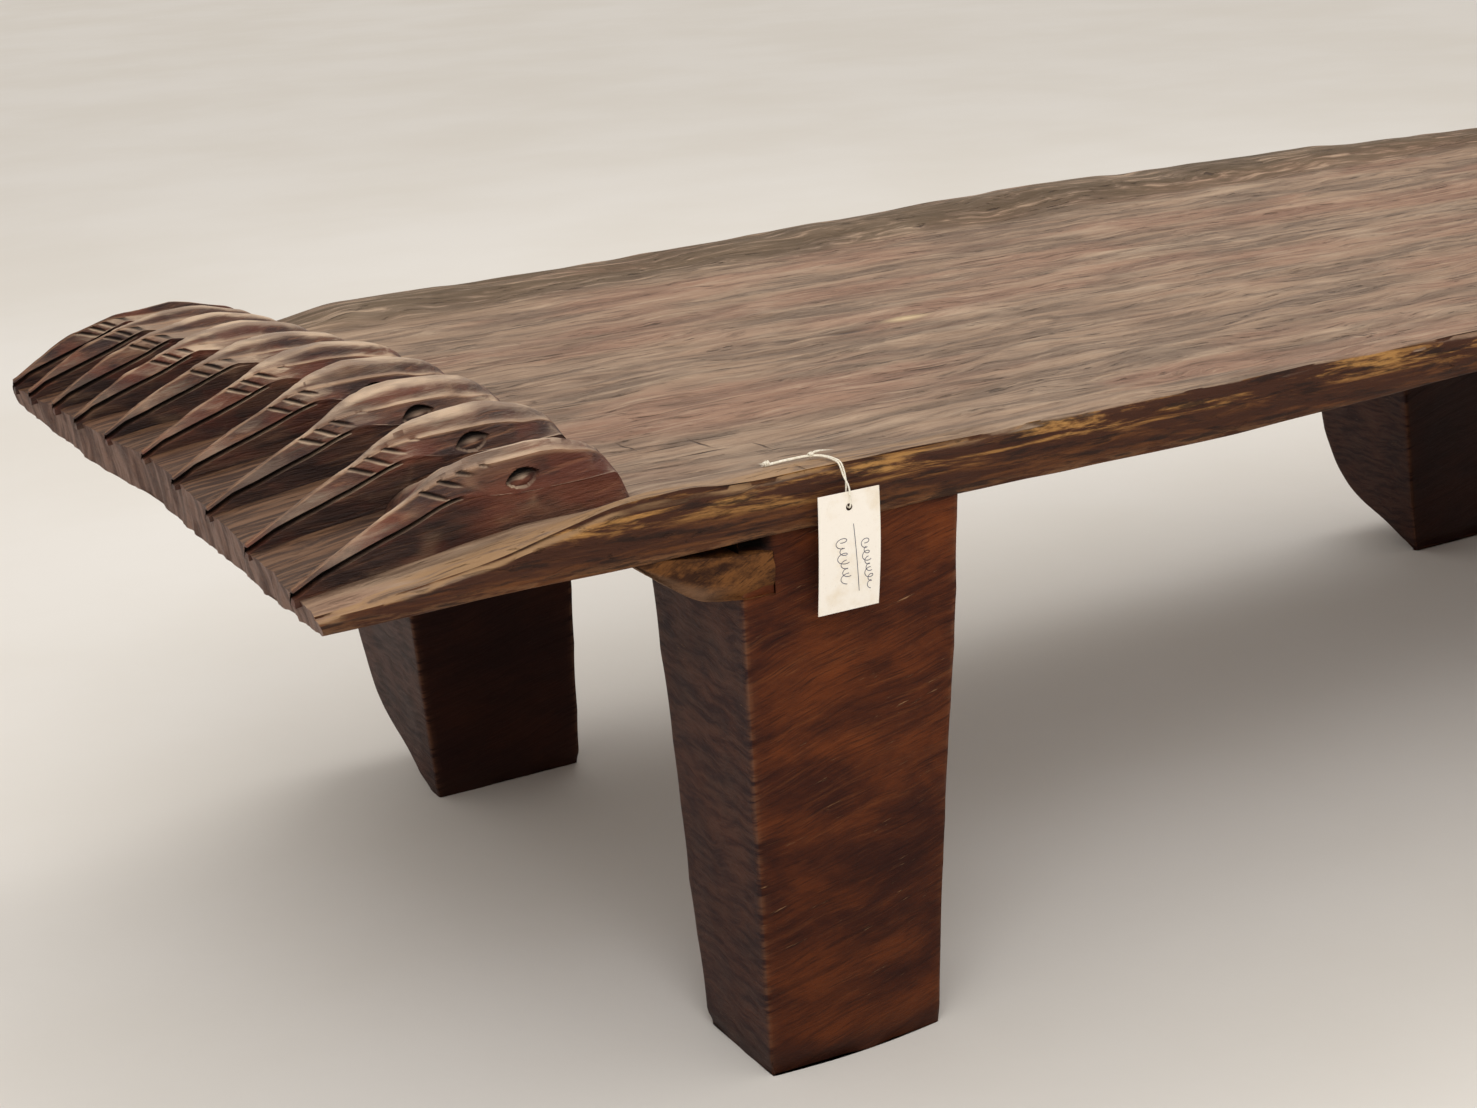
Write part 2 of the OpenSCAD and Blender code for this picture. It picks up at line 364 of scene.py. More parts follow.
def knife_marks(g):
    """Old knife cuts across the grain and checks along it, near the head end of the top."""
    cuts = [((-0.631, -0.209, 0.41), (0.0016, 0.022, 0.03)),
            ((-0.588, -0.237, 0.41), (0.0016, 0.026, 0.03)),
            ((-0.56, -0.272, 0.41), (0.0014, 0.018, 0.03)),
            ((-0.586, -0.371, 0.42), (0.0016, 0.012, 0.03)),
            ((-0.61, -0.232, 0.41), (0.03, 0.0014, 0.03)),
            ((-0.6, -0.262, 0.41), (0.034, 0.0014, 0.03)),
            ((-0.633, 0.003, 0.41), (0.045, 0.002, 0.03)),
            ((-0.618, -0.073, 0.41), (0.035, 0.0018, 0.03)),
            ((-0.535, -0.373, 0.42), (0.032, 0.0032, 0.03)),
            ((-0.603, -0.343, 0.42), (0.005, 0.0035, 0.02)),
            ((-0.331, -0.003, 0.41), (0.04, 0.006, 0.03))]
    total = 0.0
    for centre, size in cuts:
        total = g.math("MAXIMUM", total, g.spot(centre, size))
    return total


def slab_edges(g, colour, streak, patch, fibre):
    """The top's colour with the edges on it, where it wears off into dark heartwood and
    ochre sapwood, and how rough they are."""
    ragged = g.noise((0.05, 0.02, 0.006), detail=6, rough=0.68, shift=21)
    sap = g.noise((0.09, 0.03, 0.008), detail=6, rough=0.65, warp=0.6, shift=31)
    tilt = g.math("MULTIPLY_ADD", ragged, 0.5, g.facing(2))
    side = g.step(tilt, 1.0, 0.78)
    edge = g.ramp(sap, 0.42, 0.62, (64, 33, 18), (100, 59, 29))
    high = g.step(g.math("MULTIPLY_ADD", sap, 0.03, g.axis(2)), 0.414, 0.428)
    edge = g.mix(g.times(g.step(sap, 0.47, 0.6), high), edge, (174, 128, 72))
    low = g.times(g.step(g.axis(2), 0.389, 0.382), g.step(ragged, 0.42, 0.55))
    edge = g.tint(edge, low, 0.5, (150, 108, 72))
    edge = g.tints(edge, (ragged, 0.5, 0.62, 0.85, (36, 18, 11)),
                   (fibre, 0.54, 0.7, 0.5, (46, 26, 17)))
    colour = g.mix(side, colour, edge)
    # The head edge is painted a paler purplish grey where it faces the head end, as painted light
    # on that side, in upright chops.
    chop = g.noise((0.03, 0.012, 0.06), detail=4, shift=41)
    front = g.times(g.step(g.facing(0), -0.45, -0.75), side)
    head_side_light = g.ramp(chop, 0.4, 0.6, (84, 60, 52), (134, 106, 94))
    colour = g.mix(g.times(front, 0.85), colour, head_side_light)
    # Ochre sapwood on the near margin beside the first head.
    margin = g.times(g.step(g.axis(1), -0.35, -0.366), g.step(g.axis(0), -0.4, -0.56))
    margin = g.times(margin, g.step(tilt, 0.62, 0.92))
    margin = g.times(margin, g.step(g.math("ADD", streak, patch), 1.14, 0.92))
    return g.tint(colour, margin, 0.85, (160, 126, 90)), g.times(ragged, side)


def top_wood():
    """Worn, hewn top, with raw dark edges and ochre sapwood along them."""
    g = Graph("top_wood")
    broad = g.noise((0.34, 0.1, 0.1), detail=3, shift=3)
    wavy = g.wavy((0.11, 0.05, 0.05), 0.035)
    patch = g.noise((0.14, 0.018, 0.03), detail=6, warp=0.4, shift=7, coords=wavy)
    streak = g.noise((0.1, 0.0046, 0.007), detail=6, rough=0.62, warp=0.3, coords=wavy)
    fibre = g.noise((0.022, 0.0011, 0.0011), detail=4, rough=0.65, coords=wavy)
    dash = g.noise((0.034, 0.0036, 0.006), detail=4, rough=0.6, warp=0.4, shift=13, coords=wavy)
    dash = g.times(g.step(dash, 0.6, 0.7), g.step(patch, 0.6, 0.46))
    crest = g.mark("crest")
    colour = g.ramp(patch, 0.38, 0.62, (112, 92, 76), (154, 128, 106))
    colour = g.tints(colour, (broad, 0.46, 0.62, 0.5, (150, 108, 88)),
                     (streak, 0.52, 0.66, 0.65, (86, 65, 52)),
                     (streak, 0.47, 0.31, 0.5, (186, 160, 135)),
                     (fibre, 0.53, 0.7, 0.45, (98, 74, 58)),
                     (fibre, 0.46, 0.3, 0.3, (192, 168, 142)),
                     # Painted light on the adze scoops: paler crests, partly wear and partly
                     # painted highlight, and darker hollows as painted shade.
                     (crest, 0.35, 0.75, 0.4, (192, 168, 144)),
                     (crest, 0.3, 0.05, 0.35, (98, 78, 64)))
    # The far side is painted a darker olive brown along its rim; a pale knot stands beside
    # mid-width.
    far = g.step(g.math("MULTIPLY_ADD", patch, 0.06, g.axis(1)), 0.31, 0.375)
    colour = g.tint(colour, g.times(far, g.step(streak, 0.3, 0.55)), 0.8, (84, 68, 48))
    knot = g.spot((-0.268, 0.005, 0.41), (0.032, 0.012, 0.03))
    colour = g.tint(colour, knot, 0.85, (214, 190, 150))
    marks = g.times(knife_marks(g), g.step(streak, 0.1, 0.36))
    dark = g.math("MAXIMUM", g.times(dash, 0.75), marks)
    colour = g.mix(dark, colour, (60, 42, 33))
    # The floor between the heads is painted darker as shade, with some ochre left in it.
    between = g.times(g.step(g.axis(0), -0.675, -0.715), g.step(g.axis(1), -0.35, -0.338))
    floor = g.ramp(streak, 0.58, 0.4, (50, 29, 22), (104, 72, 50))
    colour = g.mix(g.times(between, 0.85), colour, floor)
    colour, edge_relief = slab_edges(g, colour, streak, patch, fibre)
    roughness = g.total((streak, 0.25), (broad, 0.2), (0.36, 1.0))
    height = g.total((streak, 0.6), (fibre, 0.3), (patch, 0.3), (dark, -0.9), (edge_relief, 1.2))
    return g.done(colour, roughness, height, 0.002, specular=0.22)


def carved_wood():
    """Dark carved heads, painted paler on their upward faces as light from above, paler at worn
    edges, and painted near black as shade in the cuts.
    """
    g = Graph("carved_wood")
    broad = g.noise((0.07, 0.04, 0.02), detail=4, shift=5, warp=0.4)
    streak = g.noise((0.05, 0.005, 0.003), detail=6, rough=0.66, warp=0.5, turn=(0, 0.12, 0))
    fibre = g.noise((0.016, 0.001, 0.0009), detail=4, rough=0.65)
    warm = g.noise((0.05, 0.09, 0.02), shift=17)
    colour = g.ramp(broad, 0.38, 0.62, (56, 34, 29), (98, 64, 48))
    colour = g.tints(colour, (streak, 0.5, 0.64, 0.75, (34, 18, 16)),
                     (streak, 0.46, 0.3, 0.5, (152, 108, 78)),
                     (warm, 0.46, 0.66, 0.45, (122, 60, 40)),
                     (fibre, 0.54, 0.7, 0.4, (40, 24, 19)))
    # Painted light from above: faces turned up on the heads' tops are painted pale.
    crest = g.step(g.math("MULTIPLY_ADD", streak, 0.35, g.facing(2)), 0.88, 1.12)
    crest = g.times(crest, g.step(g.axis(2), 0.395, 0.436))
    pale = g.ramp(broad, 0.4, 0.62, (156, 132, 113), (218, 191, 163))
    colour = g.mix(g.times(crest, 0.9), colour, pale)
    worn = g.times(g.mark("edge"), g.step(streak, 0.3, 0.55))
    colour = g.tint(colour, worn, 0.6, (172, 134, 104))
    # Painted shade: the slits, nicks, eyes and the faces under the beaks are painted near black.
    colour = g.mix(g.mark("cut"), colour, (17, 8, 6))
    roughness = g.total((streak, 0.3), (0.32, 1.0))
    height = g.total((streak, 0.6), (fibre, 0.45), (broad, 0.3))
    return g.done(colour, roughness, height, 0.0026, specular=0.28)


def leg_wood():
    """Dark red legs, with the grain rising gently across them and pale flecks."""
    g = Graph("leg_wood")
    turn = (0, 0.22, 0)
    wavy = g.wavy((0.09, 0.05, 0.07), 0.018)
    broad = g.noise((0.08, 0.06, 0.04), detail=6, rough=0.6, warp=0.3, shift=9)
    streak = g.noise((0.1, 0.03, 0.005), detail=6, rough=0.66, warp=0.3, turn=turn, coords=wavy)
    fibre = g.noise((0.028, 0.006, 0.001), detail=5, rough=0.7, turn=turn, coords=wavy)
    colour = g.ramp(broad, 0.32, 0.72, (56, 23, 13), (110, 54, 22))
    colour = g.tints(colour, (streak, 0.5, 0.66, 0.45, (34, 13, 10)),
                     (streak, 0.45, 0.32, 0.22, (132, 78, 40)),
                     (fibre, 0.5, 0.66, 0.6, (30, 12, 8)),
                     (fibre, 0.42, 0.28, 0.25, (150, 98, 60)))
    pit = g.noise((0.03, 0.01, 0.0022), detail=3, rough=0.6, turn=turn, shift=23)
    fleck = g.times(g.step(pit, 0.68, 0.74), g.step(broad, 0.56, 0.46))
    colour = g.tint(colour, fleck, 0.75, (178, 136, 98))
    # Painted light: the faces towards the head end are painted a bluish grey, the cast of the
    # light on that side.
    left = g.step(g.facing(0), -0.5, -0.8)
    grey = g.ramp(streak, 0.4, 0.62, (74, 54, 48), (42, 32, 36))
    colour = g.mix(g.times(left, 0.7), colour, grey)
    # Painted shade: the near faces of the far legs, under the bed, are painted almost black.
    black = g.times(g.step(g.axis(1), 0.05, 0.15), g.step(g.facing(1), -0.5, -0.8))
    colour = g.tint(colour, black, 0.85, (28, 8, 5))
    # So is the gap above the shoulder block, as painted shadow.
    gap = g.times(g.step(g.axis(2), 0.366, 0.373),
                  g.step(g.axis(0), BLOCK_HIGH.x + 0.004, BLOCK_HIGH.x - 0.004))
    gap = g.times(gap, g.step(g.axis(1), -0.2, -0.25))
    colour = g.mix(gap, colour, (14, 7, 5))
    worn = g.times(g.mark("edge"), g.step(streak, 0.6, 0.45))
    colour = g.tint(colour, worn, 0.3, (150, 104, 74))
    low = g.math("MULTIPLY_ADD", broad, 0.03, g.axis(2))
    colour = g.tints(colour, (g.axis(2), 0.34, 0.05, 0.3, (36, 14, 10)),
                     (low, 0.045, 0.015, 0.5, (40, 24, 18)))
    roughness = g.total((streak, 0.3), (0.36, 1.0))
    height = g.total((streak, 0.6), (fibre, 0.3), (broad, 0.3), (fleck, 0.4))
    return g.done(colour, roughness, height, 0.0022, specular=0.12)


def raw_wood():
    """Rough broken wood of the shoulder block."""
    g = Graph("raw_wood")
    lump = g.noise((0.026, 0.02, 0.012), detail=6, rough=0.68, shift=2)
    fibre = g.noise((0.012, 0.002, 0.0013), detail=4, rough=0.65, turn=(0, 0.5, 0))
    colour = g.ramp(lump, 0.38, 0.62, (56, 32, 18), (118, 76, 40))
    colour = g.tints(colour, (fibre, 0.5, 0.66, 0.75, (38, 20, 12)))
    colour = g.tint(colour, g.mark("edge"), 0.75, (128, 98, 76))
    height = g.total((lump, 0.7), (fibre, 0.6))
    return g.done(colour, 0.75, height, 0.0026, specular=0.15)


def cotton():
    """Off-white twisted cotton."""
    g = Graph("cotton")
    fibre = g.noise((0.0012, 0.0012, 0.0012), detail=3)
    colour = g.ramp(fibre, 0.35, 0.65, (226, 218, 198), (250, 246, 234))
    g.shader.inputs["Sheen Weight"].default_value = 0.25
    return g.done(colour, 0.85, fibre, 0.0002, specular=0.2)


def paper():
    """White card with faint fibres and soft stains."""
    g = Graph("paper")
    stain = g.noise((0.02, 0.02, 0.02), detail=4, shift=4)
    grain = g.noise((0.0012, 0.0012, 0.0012), detail=3)
    colour = g.ramp(stain, 0.45, 0.75, (252, 246, 236), (240, 228, 208))
    colour = g.tints(colour, (grain, 0.6, 0.75, 0.25, (206, 196, 184)))
    return g.done(colour, 0.8, grain, 0.0001, specular=0.25)


def ink():
    """Faded blue-black ink."""
    g = Graph("ink")
    fade = g.noise((0.004, 0.004, 0.004), detail=2)
    colour = g.ramp(fade, 0.3, 0.7, (48, 50, 74), (96, 96, 116))
    return g.done(colour, 0.7, fade, 0.00005, specular=0.2)


# ---- camera and stage ----

CAMERA_PLACE = (-1.294, -1.636, 0.824)
CAMERA_YAW = 27.56
CAMERA_PITCH = -17.61
CAMERA_ROLL = -3.56
CAMERA_LENS = 57.8


def make_camera():
    """Stands beyond the near head corner and looks down along the bed."""
    data = bpy.data.cameras.new("camera")
    data.sensor_width = 36
    data.lens = CAMERA_LENS
    camera = bpy.data.objects.new("camera", data)
    camera.matrix_world = Matrix.Translation(CAMERA_PLACE)
    for degrees, axis in ((-CAMERA_YAW, "Z"), (90 + CAMERA_PITCH, "X"), (CAMERA_ROLL, "Z")):
        camera.matrix_world @= Matrix.Rotation(math.radians(degrees), 4, axis)
    scene.collection.objects.link(camera)
    scene.camera = camera


def area_light(name, place, target, size, power, colour):
    data = bpy.data.lights.new(name, "AREA")
    data.shape = "RECTANGLE"
    data.size, data.size_y = size
    data.energy = power
    data.color = colour
    light = bpy.data.objects.new(name, data)
    light.location = place
    light.rotation_euler = (Vector(target) - Vector(place)).to_track_quat("-Z", "Y").to_euler()
    scene.collection.objects.link(light)


def floor_material():
    """Pale painted concrete, faintly mottled."""
    g = Graph("floor")
    cloud = g.noise((0.7, 0.7, 0.7), detail=6, shift=6)
    speck = g.noise((0.02, 0.02, 0.02), detail=4)
    dot = g.noise((0.012, 0.012, 0.012), detail=2, shift=8)
    colour = g.ramp(cloud, 0.3, 0.7, (224, 221, 216), (229, 227, 224))
    colour = g.tints(colour, (dot, 0.79, 0.84, 0.5, (150, 130, 112)))
    return g.done(colour, 0.75, speck, 0.0003, specular=0.2)


def soft_sky(horizon, overhead):
    """Even warm light, stronger from above than from the sides."""
    world = bpy.data.worlds.new("studio")
    world.use_nodes = True
    nodes, links = world.node_tree.nodes, world.node_tree.links
    direction = nodes.new("ShaderNodeTexCoord")
    split = nodes.new("ShaderNodeSeparateXYZ")
    strength = nodes.new("ShaderNodeMapRange")
    strength.inputs["To Min"].default_value = horizon
    strength.inputs["To Max"].default_value = overhead
    links.new(direction.outputs["Generated"], split.inputs[0])
    links.new(split.outputs["Z"], strength.inputs["Value"])
    background = nodes["Background"]
    background.inputs["Color"].default_value = rgb(246, 240, 232)
    links.new(strength.outputs[0], background.inputs["Strength"])
    return world


def make_stage():
    """Wide floor, even light from all sides, and a ceiling and a window light."""
    size = 14.0
    points = np.array([(-size, -size, 0), (size, -size, 0), (size, size, 0), (-size, size, 0)])
    make_piece("floor", points, [[0, 1, 2, 3]], floor_material())
    scene.world = soft_sky(horizon=0.6, overhead=1.06)
    area_light("ceiling", (0.9, 1.3, 3.0), (0, 0.1, 0.2), (1.6, 1.0), 24, (1.0, 0.97, 0.93))
    area_light("window", (-1.5, -2.3, 2.6), (-0.2, -0.3, 0), (2.4, 1.6), 34, (1.0, 0.98, 0.96))
    scene.view_settings.view_transform = "Standard"


# ---- string and tag ----

STRING_D = 0.0012
STRAND_GAP = 0.001
TAG_X = (TAG_LOW.x + TAG_HIGH.x) / 2
TAG_Y = (TAG_LOW.y + TAG_HIGH.y) / 2
TAG_W, TAG_H = TAG_HIGH.x - TAG_LOW.x, TAG_HIGH.z - TAG_LOW.z
HOLE_DOWN = 0.01
HOLE_R = 0.0024
STRING_ORIGIN = np.array([TAG_X, -HALF_W, RIM_Z])

# Route of one strand on the rim, from the tied ends to the bend over the edge, and route of
# the hanging loop: down the tag's front, through its hole and back up. Both in millimetres
# from the bend.
TOP_ROUTE = [(-37, 28, -1), (-31, 27, -0.4), (-25, 26, 0.2), (-19, 25, 0.6), (-13, 24, 0.9),
             (-7, 22.5, 1), (-3, 19, 1), (-1, 15, 1), (0, 10, 1), (0, 6, 1), (0, 2, 1)]
DROP_ROUTE = [
    (-1, 1.5, 0.9), (-1, -1.2, 0.4), (-1, -3.6, -1.6), (-1, -5.2, -4), (-1, -6.8, -6.6),
    (-0.9, -9, -9), (-0.7, -11.4, -11.4), (-0.4, -12.6, -14.5), (-0.2, -12.8, -18),
    (0, -12.8, -22), (0, -12.7, -25), (0, -12, -26.6), (0, -10.8, -27.4), (0, -9.2, -27.4),
    (0, -8, -26.6), (0, -7.4, -25), (0, -7.4, -22), (0.2, -7.4, -18), (0.4, -7.4, -14.5),
    (0.7, -7, -11.4), (0.9, -6.4, -9), (1, -5.6, -6.6), (1, -4.4, -4), (1, -3, -1.8),
    (1, -1.2, -0.2), (1, 1.5, 0.9)]

SLIP_KNOT = np.array([-0.007, 0.0225, 0.0014])
END_KNOT = np.array([-0.037, 0.028, -0.0004])


def beside(route, side):
    """The route in metres, moved sideways, level with the rim."""
    route = np.array(route) / 1000
    along = np.vstack([route[1] - route[0], route[2:] - route[:-2], route[-1] - route[-2]])
    across = np.cross(along, [0, 0, 1.0])
    return route + side * STRAND_GAP * across / np.linalg.norm(across, axis=1)[:, None]


def wound(centre, turns, radius, pitch):
    """Helix about the X direction, for a knot's turns."""
    t = np.linspace(0, turns * 2 * math.pi, int(turns * 16))
    return centre + np.stack([pitch * (t / (2 * math.pi) - turns / 2),
                              radius * np.cos(t), radius * np.sin(t)], 1)


def make_slip_knot(material):
    centre = STRING_ORIGIN + SLIP_KNOT
    turns = tube(wound(centre, 3.2, 0.0013, 0.001), 0.00055, sides=8)
    band = tube(wound(centre + [0, 0, 0.0002], 1.5, 0.0015, -0.0011), 0.0005, sides=8)
    tail_route = [centre + np.array(p) for p in
                  [(0, 0, 0.0006), (0.004, 0.001, 0.0014), (0.009, 0.0012, 0.0012),
                   (0.014, 0.0022, 0.0004), (0.019, 0.0034, -0.0004)]]
    tail = tube(smooth_path(tail_route, 0.0006), 0.00075, sides=8, strands=3, twist=2600,
                taper=0.8)
    return make_piece("string_slip_knot", *joined([turns, band, tail]), material)


def make_end_knot(material):
    """Overhand knot with the frayed ends of both strands."""
    centre = STRING_ORIGIN + END_KNOT
    parts = [tube(wound(centre, 2.6, 0.0013, 0.0014), 0.0006, sides=8),
             tube(wound(centre + [0.0005, 0, 0.0003], 1.4, 0.0016, -0.0016), 0.0005, sides=8)]
    fibres = 9
    for k in range(fibres):
        turn = 2.4 * k
        reach = 0.0035 + 0.0006 * (k % 4)
        fan = np.array([-1.0, 0.55 * math.sin(turn), 0.18 + 0.22 * math.cos(turn)])
        route = [centre + fan * reach * s + [0, 0, -0.0009 * s * s] for s in (0, 0.35, 0.7, 1)]
        parts.append(tube(smooth_path(route, 0.0008), 0.00022, sides=6, taper=0.6))
    return make_piece("string_end_knot", *joined(parts), material)


def make_string(material):
    route = np.vstack([beside(TOP_ROUTE, 1), np.array(DROP_ROUTE) / 1000,
                       beside(TOP_ROUTE, -1)[::-1]]) + STRING_ORIGIN
    path = smooth_path(route, 0.0004)
    points, faces = tube(path, STRING_D / 2, strands=3, twist=2200)
    string = make_piece("tag_string", points, faces, material, sharp=80)
    knots = [make_slip_knot(material), make_end_knot(material)]
    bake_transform(string)
    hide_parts("string_top", "string_drop")
    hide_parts("slip_knot")
    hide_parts("end_knot")
    for knot in knots:
        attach(knot, "bed")


def tag_bend(s, t):
    """How far the card stands off its plane, for s across and t down it, both 0 to 1."""
    return -0.0016 * np.sin(math.pi * t) * (0.4 + 0.6 * s) + 0.0022 * (t - 0.5) * t - 0.0004 * s


def card_point(s, t, lift):
    """A place on the card's front, lifted off it."""
    hang = 0.0034 * (0.12 - t)
    return xyz(TAG_LOW.x + TAG_W * s + hang, TAG_Y + tag_bend(s, t) - lift,
               TAG_HIGH.z - TAG_H * t)


def make_tag(material):
    """Thin card with a round hole, slightly bowed."""
    hole = np.array([0.5, HOLE_DOWN / TAG_H])
    # Rings of points round the hole, growing from a circle to the card's outline.
    around = 160
    angle = np.linspace(0, 2 * math.pi, around, endpoint=False)
    way = np.stack([np.cos(angle), np.sin(angle)], 1)
    ray = way / (TAG_W, TAG_H)
    limit = np.where(ray > 0, (1 - hole) / np.maximum(ray, 1e-9), hole / np.maximum(-ray, 1e-9))
    reach = limit.min(axis=1)
    corners = [np.argmax(way @ ((corner - hole) * (TAG_W, TAG_H)))
               for corner in np.ndindex(2, 2)]
    rings = []
    for share in spread((0, 1, 0.04)) ** 1.4:
        r = HOLE_R + (reach - HOLE_R) * share
        flat = hole + ray * r[:, None]
        if share == 1:
            flat[corners] = np.round(flat[corners])
        rings.append(flat)
    flat = np.vstack(rings)
    half = (TAG_HIGH.y - TAG_LOW.y) / 2
    front = card_point(flat[:, 0], flat[:, 1], half)
    back = card_point(flat[:, 0], flat[:, 1], -half)
    n = len(flat)
    faces = []
    for a, b, c, d in ring_quads(len(rings), around):
        faces += [[a, b, c, d], [n + d, n + c, n + b, n + a]]
    for base, turned in ((0, False), (n - around, True)):
        for j in range(around):
            k = (j + 1) % around
            quad = [base + j, n + base + j, n + base + k, base + k]
            faces.append(quad[::-1] if turned else quad)
    tag = make_piece("hang_tag_card", np.vstack([front, back]), faces, material, sharp=50)
    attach(tag, "tag")
    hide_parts("hang_tag")


def pen_stroke(s, t, width):
    """Thin ribbon of ink along a line on the card, as vertices and faces."""
    centre = card_point(s, t, 0.00036)
    along = np.gradient(centre, axis=0)
    along /= np.linalg.norm(along, axis=1)[:, None]
    across = np.cross(along, [0, 1.0, 0]) * width / 2
    points = np.vstack([centre + across, centre - across])
    n = len(s)
    faces = [[i, i + 1, n + i + 1, n + i] for i in range(n - 1)]
    return points, faces


def make_pen_marks(material):
    """A ruled line and two rows of loops that stand for writing, none of them a letter."""
    t = np.linspace(0, 1, 40)
    strokes = [pen_stroke(0.56 + 0.1 * t, 0.27 + 0.58 * t, 0.0005)]
    for start, rows, size, loops in (((0.73, 0.42), 0.4, 0.05, 8), ((0.34, 0.38), 0.36, 0.07, 6)):
        t = np.linspace(0, 1, 50 * loops)
        phase = 2 * math.pi * loops * t
        uneven = 1 + 0.45 * np.sin(phase * 0.37 + 1)
        s = start[0] + 0.12 * t + size * uneven * np.sin(phase)
        down = start[1] + rows * t + 0.022 * np.cos(phase) * uneven
        # The pen lifts between words.
        gap = np.sin(phase * 0.5 + 0.6) > -0.93
        for piece in np.split(np.arange(len(t)), np.nonzero(np.diff(gap.astype(int)))[0] + 1):
            if gap[piece[0]] and len(piece) > 3:
                strokes.append(pen_stroke(s[piece], down[piece], 0.00048))
    marks = make_piece("hang_tag_marks", *joined(strokes), material)
    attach(marks, "tag")


# ---- bed ----

LEDGE_TIP_Z = 0.391
LEDGE_RUN = 0.15
FOOT_CORNER = 0.028

# The head edge in plan, as (across the bed, along it): the beaks' tips stand on it.
HEAD_EDGE = [(-0.38, -0.915), (-0.346, -0.914), (-0.236, -0.908), (-0.13, -0.903),
             (-0.04, -0.9), (0.04, -0.898), (0.12, -0.905), (0.2, -0.912), (0.26, -0.914),
             (0.31, -0.92), (0.38, -0.923)]

# Height of the near and far rims along the bed, and how far the rims stand out.
NEAR_CREST = [(-0.92, 0.391), (-0.89, 0.393), (-0.84, 0.398), (-0.8, 0.404), (-0.76, 0.413),
              (-0.71, 0.422), (-0.67, 0.4225), (-0.648, 0.4198), (-0.58, 0.4192), (-0.3, 0.419),
              (0.1, 0.421), (0.45, 0.418), (0.92, 0.416)]
FAR_CREST = [(-0.92, 0.398), (-0.8, 0.41), (-0.66, 0.419), (-0.4, 0.419), (-0.2, 0.422),
             (0.1, 0.427), (0.3, 0.424), (0.45, 0.423), (0.62, 0.419), (0.92, 0.416)]
NEAR_OUT = [(-0.92, -0.001), (-0.6, 0.001), (-0.4, 0.0), (0.0, 0.002), (0.5, 0.001),
            (0.92, -0.004)]
FAR_OUT = [(-0.92, 0.0), (-0.6, -0.004), (-0.3, -0.002), (0.0, 0.006), (0.25, 0.009),
           (0.5, 0.003), (0.7, -0.006), (0.92, -0.01)]
UNDERSIDE = [(0.0, 0.36), (0.15, 0.361), (0.3, 0.3685), (0.38, 0.381)]


def ledge_z(x):
    """The floor between the birds, sloping down to the beak tips."""
    return LEDGE_TIP_Z + (PANEL_Z - LEDGE_TIP_Z) * np.clip((x - HEAD_X) / LEDGE_RUN, 0, 1)


def crest_z(x, y):
    """Height of the rim that a place belongs to."""
    return np.where(y < 0, curve(NEAR_CREST, x), curve(FAR_CREST, x))


def top_z(x, y):
    """Hewn top: dished between the rims, sloping down as a ledge under the birds."""
    at = xyz(x, y, np.zeros_like(x))
    inner = HALF_W - np.abs(y)
    behind = smooth(x, LEDGE_END - 0.03, LEDGE_END + 0.05)
    # The rims' inner slopes wander in and out along the bed.
    wander = 0.01 * noise(at, (0.16, 0.5, 1), 3)
    rise = smooth(inner + wander, 0.066, 0.018) * behind
    rise += smooth(inner, 0.042, 0.004) * (1 - behind) * (y < 0)
    dish = -0.003 * (1 - (y / HALF_W) ** 2) * behind
    # Adze scoops: shallow hollows, long along the grain, with crests between them.
    swell = layered(at, (0.34, 0.12, 1), 15, 2)
    hewn = behind * (1 - 0.55 * rise)
    z = ledge_z(x) + rise * (crest_z(x, y) - ledge_z(x)) + dish
    relief = hewn * (0.0038 * (adze(x, y) - 0.35) + 0.0016 * swell)
    relief += 0.0006 * noise(at, (0.03, 0.008, 1), 19)
    relief += 0.0012 * rise * noise(at, (0.05, 0.02, 1), 27)
    # The rim is left plain under the string.
    return z + relief * (1 - rise * smooth(np.abs(x - TAG_X + 0.015), 0.06, 0.035))


def adze(x, y):
    """Scoop marks of the top, with their own wander so that they are not all alike."""
    at = xyz(x, y, np.zeros_like(x))
    at[:, 1] += 0.008 * noise(at, (0.07, 0.05, 1), 11)
    return 0.65 * scoops(at, (0.115, 0.034, 1.6), 12) + 0.35 * scoops(at, (0.05, 0.013, 1.6), 17)


